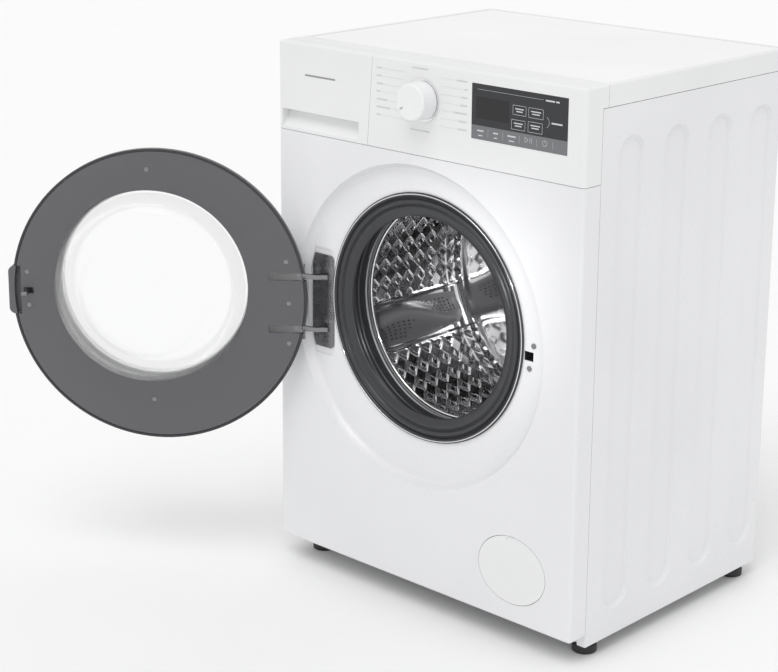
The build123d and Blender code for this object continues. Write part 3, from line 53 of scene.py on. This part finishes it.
# Places set to agree with the CAD model, in metres and degrees
PORT = Vector((0.0, 0.0, 0.465))
PANEL_FACE = -0.00025
DRUM_RADIUS = 0.2362
DRUM_FRONT = 0.078
DRUM_BACK = 0.349
LIFTER_ANGLES = (203.0, 323.0, 83.0)
KNOB_CENTRE = (0.002, 0.796)

# Faces measured on the frame, in metres
KNOB_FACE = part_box("program_knob")[0].y
DISPLAY_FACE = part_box("display_window")[0].y
STRIP_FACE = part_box("key_strip")[0].y

# Pressed pattern of the drum wall, in metres
TILE_AROUND = 0.0290
TILE_ALONG = 0.0270
TILE_REACH = 0.44
TILE_HEIGHT = 0.0036
TILE_DISH = 0.0012

# Lifters, in metres
LIFTER_FRONT_GAP = 0.010
LIFTER_BACK_GAP = 0.016
LIFTER_HALF_WIDTH = 0.0325
LIFTER_HEIGHT = 0.048
LIFTER_WAVE = 0.0145
HOLE_RADIUS = 0.0017

# Light and camera
SKY_STRENGTH = 0.82
SUN_STRENGTH = 0.8
SUN_TRAVEL = Vector((-0.22, 0.5, -1.0))
DRUM_LIGHT_WATTS = 150.0
DRUM_LIGHT_PLACE = (1.15, -1.5, 1.15)
DRUM_LIGHT_AIM = Vector((-0.09, 0.2, -0.04))
FLOOR_REACH = 30.0
CAMERA_PLACE = (1.9035, -2.0937, 1.3221)
CAMERA_AZIMUTH, CAMERA_ELEVATION, CAMERA_ROLL = 43.2051, 15.0752, -0.4032
FOCAL_PIXELS, IMAGE_WIDTH = 1994.0, 778.0
SENSOR_WIDTH = 36.0


# ---------------------------------------------------------------- materials


def shader(name):
    """A new material with its Principled node and a texture coordinate in metres."""
    material = bpy.data.materials.new(name)
    material.use_nodes = True
    tree = material.node_tree
    principled = tree.nodes["Principled BSDF"]
    where = tree.nodes.new("ShaderNodeTexCoord")
    return material, tree, principled, where


def noise(tree, where, scale, detail=3.0):
    """A noise texture of this many cells to the metre."""
    node = tree.nodes.new("ShaderNodeTexNoise")
    node.inputs["Scale"].default_value = scale
    node.inputs["Detail"].default_value = detail
    tree.links.new(where.outputs["Object"], node.inputs["Vector"])
    return node


def spread(tree, source, low, high):
    """Map a 0 to 1 value onto a range."""
    node = tree.nodes.new("ShaderNodeMapRange")
    node.inputs["To Min"].default_value = low
    node.inputs["To Max"].default_value = high
    tree.links.new(source, node.inputs["Value"])
    return node.outputs["Result"]


def finish(name, color, rough=0.4, metal=0.0, grain=60.0, variation=0.03, bump=0.02, coat=0.0):
    """Painted, moulded or metal surface: slight colour and gloss variation and a fine surface grain."""
    material, tree, principled, where = shader(name)
    broad = noise(tree, where, 3.0)
    fine = noise(tree, where, grain, 6.0)
    ramp = tree.nodes.new("ShaderNodeValToRGB")
    ramp.color_ramp.elements[0].position = 0.3
    ramp.color_ramp.elements[1].position = 0.7
    ramp.color_ramp.elements[0].color = (*[c * (1 - variation) for c in color], 1)
    ramp.color_ramp.elements[1].color = (*[min(c * (1 + variation), 1) for c in color], 1)
    tree.links.new(broad.outputs["Fac"], ramp.inputs["Fac"])
    tree.links.new(ramp.outputs["Color"], principled.inputs["Base Color"])
    gloss = spread(tree, fine.outputs["Fac"], rough * 0.85, rough * 1.15)
    tree.links.new(gloss, principled.inputs["Roughness"])
    principled.inputs["Metallic"].default_value = metal
    principled.inputs["Coat Weight"].default_value = coat
    principled.inputs["Coat Roughness"].default_value = 0.08
    surface = tree.nodes.new("ShaderNodeBump")
    surface.inputs["Strength"].default_value = bump
    surface.inputs["Distance"].default_value = 0.001
    tree.links.new(fine.outputs["Fac"], surface.inputs["Height"])
    tree.links.new(surface.outputs["Normal"], principled.inputs["Normal"])
    return material


def clear(name, tint, rough, solidity):
    """Clear glass with a faint tint and slight waviness, part of which lets light straight through."""
    material, tree, principled, where = shader(name)
    wave = noise(tree, where, 12.0)
    principled.inputs["Base Color"].default_value = (*tint, 1)
    principled.inputs["Transmission Weight"].default_value = 1.0
    principled.inputs["IOR"].default_value = 1.45
    principled.inputs["Alpha"].default_value = solidity
    tree.links.new(spread(tree, wave.outputs["Fac"], rough, rough + 0.02), principled.inputs["Roughness"])
    return material


MATERIALS = {
    "white_enamel": finish("white_enamel", (0.8, 0.803, 0.815), rough=0.28, grain=900, bump=0.04, coat=0.3),
    "white_plastic": finish("white_plastic", (0.82, 0.824, 0.828), rough=0.36, grain=700, bump=0.03),
    "worktop_laminate": finish("worktop_laminate", (0.9, 0.9, 0.903), rough=0.45, grain=500, bump=0.06),
    "galvanised": finish("galvanised", (0.6, 0.61, 0.62), rough=0.42, metal=1.0, grain=80, variation=0.12),
    "stainless": finish("stainless", (0.84, 0.84, 0.85), rough=0.1, metal=1.0, grain=200, variation=0.05),
    "chrome": finish("chrome", (0.8, 0.8, 0.81), rough=0.12, metal=1.0, grain=100, bump=0.0),
    "cast_alloy": finish("cast_alloy", (0.55, 0.56, 0.57), rough=0.5, metal=1.0, grain=300, bump=0.2),
    "ring_grey": finish("ring_grey", (0.115, 0.113, 0.122), rough=0.48, grain=1200, bump=0.1),
    "trim_black": finish("trim_black", (0.035, 0.035, 0.04), rough=0.25, grain=600),
    "lens_black": finish("lens_black", (0.02, 0.021, 0.025), rough=0.12, grain=50, bump=0.0),
    "strip_grey": finish("strip_grey", (0.17, 0.175, 0.185), rough=0.3, grain=600),
    "knob_white": finish("knob_white", (0.84, 0.845, 0.85), rough=0.25, grain=500, bump=0.01),
    "black_rubber": finish("black_rubber", (0.03, 0.03, 0.032), rough=0.6, grain=900, bump=0.2),
    "gasket_grey": finish("gasket_grey", (0.03, 0.031, 0.035), rough=0.3, grain=150, bump=0.01),
    "inner_plastic": finish("inner_plastic", (0.5, 0.51, 0.52), rough=0.4, grain=400),
    "board_green": finish("board_green", (0.03, 0.16, 0.07), rough=0.5, grain=200, variation=0.2),
    "counterweight": finish(
        "counterweight", (0.42, 0.41, 0.39), rough=0.9, grain=250, variation=0.15, bump=0.6,
    ),
    "motor_grey": finish("motor_grey", (0.25, 0.25, 0.26), rough=0.5, metal=0.6, grain=200),
    "zinc_steel": finish("zinc_steel", (0.26, 0.26, 0.27), rough=0.28, metal=1.0, grain=300, variation=0.08),
    "clear_glass": clear("clear_glass", (0.98, 0.985, 0.99), 0.0, 0.15),
}
MARK_GREY = finish("mark_grey", (0.3, 0.3, 0.31), rough=0.5, grain=400)
MARK_LIGHT = finish("mark_light", (0.62, 0.63, 0.65), rough=0.5, grain=400)
# Black for the display screen, and painted shade for the lifters' drain holes
BLACK_SCREEN_AND_HOLE_SHADE = finish("black_screen_and_hole_shade", (0.006, 0.006, 0.008), rough=0.15, grain=100, bump=0.0)
LIFTER_GREY = finish("lifter_grey", (0.22, 0.22, 0.23), rough=0.25, grain=300)

for part in frame["record"]["subparts"]:
    cad = nodes[part["node"]]
    cad.data.materials.clear()
    cad.data.materials.append(MATERIALS[part["material_slot"]])


# ---------------------------------------------------------------- mesh helpers


def piece(name, verts, faces, body, material, smooth=True):
    """A mesh piece that rides on a body and takes the material it is given."""
    mesh = bpy.data.meshes.new(name)
    mesh.from_pydata([tuple(v) for v in verts], [], faces)
    mesh.validate()
    mesh.polygons.foreach_set("use_smooth", [smooth] * len(mesh.polygons))
    mesh.materials.append(material)
    thing = bpy.data.objects.new(name, mesh)
    bpy.context.scene.collection.objects.link(thing)
    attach(thing, body)
    return thing


def turned_points(profile, steps):
    """Sweep a closed (radius, depth) profile round the porthole's axis."""
    verts = []
    for step in range(steps):
        turn = 2 * math.pi * step / steps
        for radius, depth in profile:
            verts.append((radius * math.cos(turn), depth, PORT.z + radius * math.sin(turn)))
    return verts


def ring_faces(count, steps):
    """Quads that join the sections of a closed ring."""
    faces = []
    for step in range(steps):
        for i in range(count):
            j = (i + 1) % count
            after = (step + 1) % steps
            faces.append((step * count + i, step * count + j, after * count + j, after * count + i))
    return faces


def rounded(profile, passes=2):
    """Corner cutting, which turns a coarse closed outline into a soft moulded one."""
    for _ in range(passes):
        soft = []
        for i, (r0, y0) in enumerate(profile):
            r1, y1 = profile[(i + 1) % len(profile)]
            soft.append((r0 * 0.75 + r1 * 0.25, y0 * 0.75 + y1 * 0.25))
            soft.append((r0 * 0.25 + r1 * 0.75, y0 * 0.25 + y1 * 0.75))
        profile = soft
    return profile


# ---------------------------------------------------------------- door gasket


def make_gasket():
    """Bellows with its beads, sealing lip and inner fold, as (radius, depth) points in millimetres."""
    profile = [
        (191.0, 9.6), (187.4, 8.7), (184.6, 9.4), (182.6, 13.4), (180.8, 13.4), (179.4, 9.4),
        (176.2, 8.8), (173.4, 9.6), (172.0, 12.8), (170.4, 12.8), (168.4, 10.2), (160.0, 12.6),
        (154.2, 15.6), (154.0, 18.0), (160.0, 16.9), (168.0, 15.4),
        (173.6, 17.8), (176.6, 22.0), (174.8, 27.0), (177.4, 32.0), (177.6, 39.0), (173.6, 43.4),
        (169.4, 45.4), (168.2, 52.0), (168.0, 59.6), (171.0, 60.0), (171.4, 49.4), (175.8, 49.4),
        (175.9, 61.2), (179.0, 61.2), (179.4, 48.0), (183.4, 42.0), (183.4, 12.9), (190.8, 12.7),
    ]
    outline = rounded([(r * MM, y * MM) for r, y in profile])
    steps = 160
    gasket = piece(
        "gasket_bellows", turned_points(outline, steps), ring_faces(len(outline), steps),
        "cabinet", MATERIALS["gasket_grey"],
    )
    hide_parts("door_gasket")


# ---------------------------------------------------------------- drum


def angle_gap(turn, centre):
    """Smallest angle between two directions, in degrees."""
    return abs((turn - centre + 180.0) % 360.0 - 180.0)


def emboss(around, along):
    """Height of the drum's pressed pattern, a chequer of raised diamonds whose tops are dished."""
    u = abs((around / TILE_AROUND) % 1.0 - 0.5)
    v = abs((along / TILE_ALONG) % 1.0 - 0.5)
    inside = TILE_REACH - (u + v)
    raised = min(max(inside / 0.07, 0.0), 1.0)
    dish = min(max((inside - 0.12) / 0.05, 0.0), 1.0)
    return TILE_HEIGHT * raised - TILE_DISH * dish


def make_drum_wall():
    """Pressed steel wall: embossed between the lifters, plain strips where they are fixed."""
    around_steps, along_steps = 680, 128
    verts, faces = [], []
    for j in range(along_steps + 1):
        depth = DRUM_FRONT + (DRUM_BACK - DRUM_FRONT) * j / along_steps
        edge = min(min(depth - DRUM_FRONT, DRUM_BACK - depth) / 0.018, 1.0)
        for i in range(around_steps):
            turn = 360.0 * i / around_steps
            gap = min(angle_gap(turn, centre) for centre in LIFTER_ANGLES)
            clear_of_lifter = min(max((gap - 10.5) / 1.5, 0.0), 1.0)
            seam = 0.0022 * math.exp(-(((gap - 9.6) / 0.45) ** 2))
            height = emboss(math.radians(turn) * DRUM_RADIUS, depth) * edge * clear_of_lifter + seam
            radius = DRUM_RADIUS - height
            angle = math.radians(turn)
            verts.append((radius * math.cos(angle), depth, PORT.z + radius * math.sin(angle)))
    for j in range(along_steps):
        for i in range(around_steps):
            k = (i + 1) % around_steps
            low, high = j * around_steps, (j + 1) * around_steps
            faces.append((low + i, high + i, high + k, low + k))
    piece("drum_embossed_wall", verts, faces, "drum", MATERIALS["stainless"])


def make_drum_back():
    """Pressed back: a raised centre, a deep ring and broad petals between the spider's arms."""
    rings, around_steps = 56, 216
    outer = DRUM_RADIUS - 0.001
    verts, faces = [], []
    for j in range(rings + 1):
        radius = outer * (0.02 + 0.98 * j / rings)
        share = radius / outer
        for i in range(around_steps):
            turn = 2 * math.pi * i / around_steps
            petal = 0.5 + 0.5 * math.cos(3 * (turn - math.radians(LIFTER_ANGLES[0] + 60)))
            bowl = math.exp(-(((share - 0.62) / 0.2) ** 2))
            rim = math.exp(-(((share - 0.93) / 0.03) ** 2))
            hub = 1.0 / (1.0 + math.exp((share - 0.27) * 60))
            rise = 0.0045 + 0.0085 * petal ** 1.5 * bowl + 0.004 * rim + 0.006 * hub
            verts.append((radius * math.cos(turn), DRUM_BACK - rise, PORT.z + radius * math.sin(turn)))
    for j in range(rings):
        for i in range(around_steps):
            k = (i + 1) % around_steps
            low, high = j * around_steps, (j + 1) * around_steps
            faces.append((low + i, low + k, high + k, high + i))
    faces.append(tuple(range(around_steps)))
    back = piece("drum_pressed_back", verts, faces, "drum", MATERIALS["stainless"])
    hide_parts("drum_back")


def lifter_point(share, across, centre):
    """A point on a lifter: share runs front to back, across runs from one foot to the other."""
    run = DRUM_BACK - LIFTER_BACK_GAP - DRUM_FRONT - LIFTER_FRONT_GAP
    depth = DRUM_FRONT + LIFTER_FRONT_GAP + run * share
    ends = math.sin(math.pi * min(max(share, 0.0), 1.0)) ** 0.45
    half = LIFTER_HALF_WIDTH * (0.72 + 0.28 * ends)
    wave = -math.sin(2 * math.pi * (share - 0.04))
    crest = LIFTER_WAVE * wave * (1 - across * across)
    ridge = math.cos(across * math.pi / 2) ** 1.35
    height = LIFTER_HEIGHT * ends * ridge * (0.84 + 0.16 * math.sin(math.pi * share))
    sideways = across * half + crest
    wall = math.sqrt(max((DRUM_RADIUS - 0.0006) ** 2 - sideways ** 2, 0.0))
    radial = wall - height
    turn = math.radians(centre)
    return Vector((
        radial * math.cos(turn) - sideways * math.sin(turn),
        depth,
        PORT.z + radial * math.sin(turn) + sideways * math.cos(turn),
    ))


def make_lifters():
    """Moulded paddles with a waved crest, and rows of flat black discs, painted shade that stands for the
    drain holes.
    """
    along, wide = 64, 28
    verts, faces = [], []
    hole_shade_verts, hole_shade_faces = [], []
    for centre in LIFTER_ANGLES:
        start = len(verts)
        for j in range(along + 1):
            for i in range(wide + 1):
                verts.append(lifter_point(j / along, 2 * i / wide - 1, centre))
        for j in range(along):
            for i in range(wide):
                a = start + j * (wide + 1) + i
                faces.append((a, a + 1, a + wide + 2, a + wide + 1))
        # Rows of black discs: painted shade standing for the drain holes, which are not cut
        for side in (-1, 1):
            for row in range(5):
                for place in range(7):
                    share = 0.50 - side * (0.10 + 0.042 * place + 0.021 * (row % 2))
                    across = side * (0.34 + 0.12 * row)
                    add_hole_shade(hole_shade_verts, hole_shade_faces, share, across, centre)
    lifters = piece("drum_waved_lifters", verts, faces, "drum", LIFTER_GREY)
    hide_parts("drum_lifters")
    # The discs are painted shade, black where the holes would be dark
    piece("lifter_hole_shade", hole_shade_verts, hole_shade_faces, "drum", BLACK_SCREEN_AND_HOLE_SHADE, smooth=False)


def add_hole_shade(verts, faces, share, across, centre):
    """A small flat black disc lying on a lifter's surface, painted shade in place of a drain hole."""
    middle = lifter_point(share, across, centre)
    along = (lifter_point(share + 0.01, across, centre) - middle).normalized()
    aside = (lifter_point(share, across + 0.02, centre) - middle).normalized()
    normal = along.cross(aside).normalized()
    inward = (PORT - middle)
    inward.y = 0
    if normal.dot(inward) < 0:
        normal.negate()
    points = 8
    start = len(verts)
    for i in range(points):
        turn = 2 * math.pi * i / points
        outward = along * math.cos(turn) + aside * math.sin(turn)
        verts.append(middle + normal * 0.0003 + outward * HOLE_RADIUS)
    faces.append(tuple(range(start, start + points)))


# ---------------------------------------------------------------- printed marks


class Marks:
    """Flat printed shapes that lie just proud of a face that looks to the front."""

    def __init__(self, face):
        self.face = face
        self.verts = []
        self.faces = []

    def bar(self, x0, z0, x1, z1):
        """A filled rectangle, in millimetres."""
        start = len(self.verts)
        for x, z in ((x0, z0), (x1, z0), (x1, z1), (x0, z1)):
            self.verts.append((x * MM, self.face, z * MM))
        self.faces.append((start, start + 1, start + 2, start + 3))

    def line(self, x0, z0, x1, z1, width):
        """A straight stroke of a width."""
        run = Vector((x1 - x0, z1 - z0))
        side = Vector((-run.y, run.x)).normalized() * width / 2
        start = len(self.verts)
        corners = ((x0, z0, -1), (x1, z1, -1), (x1, z1, 1), (x0, z0, 1))
        for x, z, sign in corners:
            self.verts.append(((x + side.x * sign) * MM, self.face, (z + side.y * sign) * MM))
        self.faces.append((start, start + 1, start + 2, start + 3))

    def frame(self, x0, z0, x1, z1, width):
        """An outlined rectangle."""
        self.line(x0, z0, x1, z0, width)
        self.line(x0, z1, x1, z1, width)
        self.line(x0, z0, x0, z1, width)
        self.line(x1, z0, x1, z1, width)

    def arc(self, x, z, radius, start_turn, end_turn, width, steps=20):
        """A curved stroke."""
        points = []
        for i in range(steps + 1):
            turn = math.radians(start_turn + (end_turn - start_turn) * i / steps)
            points.append((x + radius * math.cos(turn), z + radius * math.sin(turn)))
        for (xa, za), (xb, zb) in zip(points, points[1:]):
            self.line(xa, za, xb, zb, width)

    def make(self, name, material, body="cabinet"):
        """Turn the shapes into one piece."""
        return piece(name, self.verts, self.faces, body, material, smooth=False)


def make_program_marks():
    """Generic bars in place of the program names, each with a thin leader line to the knob."""
    marks = Marks(PANEL_FACE)
    left_lengths = (11, 10, 13, 8, 22, 28, 9)
    right_lengths = (20, 6, 12, 13, 26, 16, 17)
    for i, (left, right) in enumerate(zip(left_lengths, right_lengths)):
        z = 833.0 - 11.6 * i
        marks.bar(-90, z - 1.0, -90 + left, z + 1.0)
        marks.line(-90 + left + 2, z - 0.4, -38 + 1.5 * abs(i - 3), z - 0.4, 0.3)
        marks.bar(86 - right, z - 1.0, 86, z + 1.0)
        marks.line(38 - 1.5 * abs(i - 3), z - 0.4, 84 - right, z - 0.4, 0.3)
    marks.bar(-20, 840.5, 12, 842.3)
    marks.bar(-22, 750.0, 16, 751.8)
    marks.make("program_marks", MARK_LIGHT)
    drawer_mark = Marks(PANEL_FACE)
    drawer_mark.bar(-240, 801.6, -176, 804.2)
    drawer_mark.make("drawer_mark", MARK_GREY, "drawer")
    pointer = Marks(KNOB_FACE - 0.0004)
    turn = math.radians(212)
    x, z = KNOB_CENTRE[0] / MM, KNOB_CENTRE[1] / MM
    near, far = 15.5, 22.0
    pointer.line(
        x + near * math.cos(turn), z + near * math.sin(turn),
        x + far * math.cos(turn), z + far * math.sin(turn), 1.3,
    )
    pointer.make("knob_pointer", MARK_GREY, "knob")


def make_display_marks():
    """Display window, outlined touch keys, and plain symbols on the grey key strip."""
    screen = Marks(DISPLAY_FACE - 0.0002)
    screen.bar(103, 784.5, 162.7, 815)
    screen.make("display_screen", BLACK_SCREEN_AND_HOLE_SHADE)
    marks = Marks(DISPLAY_FACE - 0.0003)
    marks.line(105, 826, 224, 826, 0.35)
    marks.bar(228, 824.6, 244, 826.8)
    marks.bar(246, 824.6, 252, 826.8)
    for x0, z0, x1, z1 in (
        (170.5, 798.8, 193.9, 812.0), (198.6, 798.4, 224.3, 812.0),
        (168.4, 778.0, 192.5, 791.6), (198.0, 778.0, 223.0, 792.5),
    ):
        marks.frame(x0, z0, x1, z1, 0.5)
        marks.bar(x0 + 4, z1 - 5.6, x1 - 4, z1 - 4.0)
        marks.bar(x0 + 6, z1 - 9.2, x1 - 6, z1 - 7.6)
    marks.arc(226.5, 795.5, 8.5, -60, 60, 0.5)
    marks.bar(239, 794.4, 258, 796.6)
    marks.make("display_marks", MARK_LIGHT)
    legends = Marks(STRIP_FACE - 0.0003)
    for x, width in ((112, 12), (140, 9), (169, 15)):
        legends.bar(x - width / 2, 766.0, x + width / 2, 768.2)
        legends.bar(x - width / 3, 759.6, x + width / 3, 761.2)
    for x in (126, 153, 183, 214, 242):
        legends.line(x, 759.5, x, 770.5, 0.4)
    legends.line(193, 762.5, 193, 770.0, 0.7)
    legends.line(193, 770.0, 199, 766.2, 0.7)
    legends.line(199, 766.2, 193, 762.5, 0.7)
    legends.line(202, 762.5, 202, 770.0, 0.7)
    legends.line(205, 762.5, 205, 770.0, 0.7)
    legends.arc(228, 766.0, 4.0, 120, 420, 0.7)
    legends.line(228, 766.5, 228, 771.2, 0.7)
    legends.make("key_legends", MARK_LIGHT)


# ---------------------------------------------------------------- light and camera


def make_drum_light():
    """A narrow soft spot that reaches into the drum through the porthole."""
    lamp = bpy.data.lights.new("drum_light", "SPOT")
    lamp.energy = DRUM_LIGHT_WATTS
    lamp.spot_size = math.radians(8.5)
    lamp.spot_blend = 0.8
    lamp.shadow_soft_size = 0.12
    spot = bpy.data.objects.new("drum_light", lamp)
    spot.location = DRUM_LIGHT_PLACE
    aim = PORT + DRUM_LIGHT_AIM - spot.location
    spot.rotation_euler = aim.to_track_quat("-Z", "Y").to_euler()
    bpy.context.scene.collection.objects.link(spot)


def make_floor():
    """Pale plain floor."""
    mesh = bpy.data.meshes.new("floor")
    corners = [(x * FLOOR_REACH, y * FLOOR_REACH, 0) for x, y in ((-1, -1), (1, -1), (1, 1), (-1, 1))]
    mesh.from_pydata(corners, [], [(0, 1, 2, 3)])
    floor = bpy.data.objects.new("floor", mesh)
    bpy.context.scene.collection.objects.link(floor)
    pale = finish("floor_white", (0.93, 0.93, 0.93), rough=0.9, grain=20, variation=0.004, bump=0.0)
    mesh.materials.append(pale)


def make_light():
    """An even white sky, and one broad soft light from above the front right."""
    world = bpy.data.worlds.new("studio")
    bpy.context.scene.world = world
    world.use_nodes = True
    background = world.node_tree.nodes["Background"]
    background.inputs["Color"].default_value = (1.0, 1.0, 1.0, 1.0)
    background.inputs["Strength"].default_value = SKY_STRENGTH
    lamp = bpy.data.lights.new("soft_key", "SUN")
    lamp.energy = SUN_STRENGTH
    lamp.angle = math.radians(35)
    key = bpy.data.objects.new("soft_key", lamp)
    key.rotation_euler = SUN_TRAVEL.to_track_quat("-Z", "Y").to_euler()
    bpy.context.scene.collection.objects.link(key)
    make_drum_light()
    bpy.context.scene.view_settings.view_transform = "Standard"


def make_camera():
    """Three quarter view from the right, a little above the machine."""
    azimuth = math.radians(CAMERA_AZIMUTH)
    elevation = math.radians(CAMERA_ELEVATION)
    roll = math.radians(CAMERA_ROLL)
    data = bpy.data.cameras.new("camera")
    data.sensor_width = SENSOR_WIDTH
    data.lens = SENSOR_WIDTH * FOCAL_PIXELS / IMAGE_WIDTH
    data.shift_y = -0.1
    data.clip_start, data.clip_end = 0.05, 100.0
    camera = bpy.data.objects.new("camera", data)
    camera.location = CAMERA_PLACE
    back = Vector((
        math.sin(azimuth) * math.cos(elevation),
        -math.cos(azimuth) * math.cos(elevation),
        math.sin(elevation),
    ))
    turn = (-back).to_track_quat("-Z", "Y").to_matrix().to_4x4() @ Matrix.Rotation(-roll, 4, "Z")
    camera.rotation_mode = "QUATERNION"
    camera.rotation_quaternion = turn.to_quaternion()
    bpy.context.scene.collection.objects.link(camera)
    bpy.context.scene.camera = camera


make_gasket()
make_drum_wall()
make_drum_back()
make_lifters()
make_program_marks()
make_display_marks()
make_floor()
make_light()
make_camera()
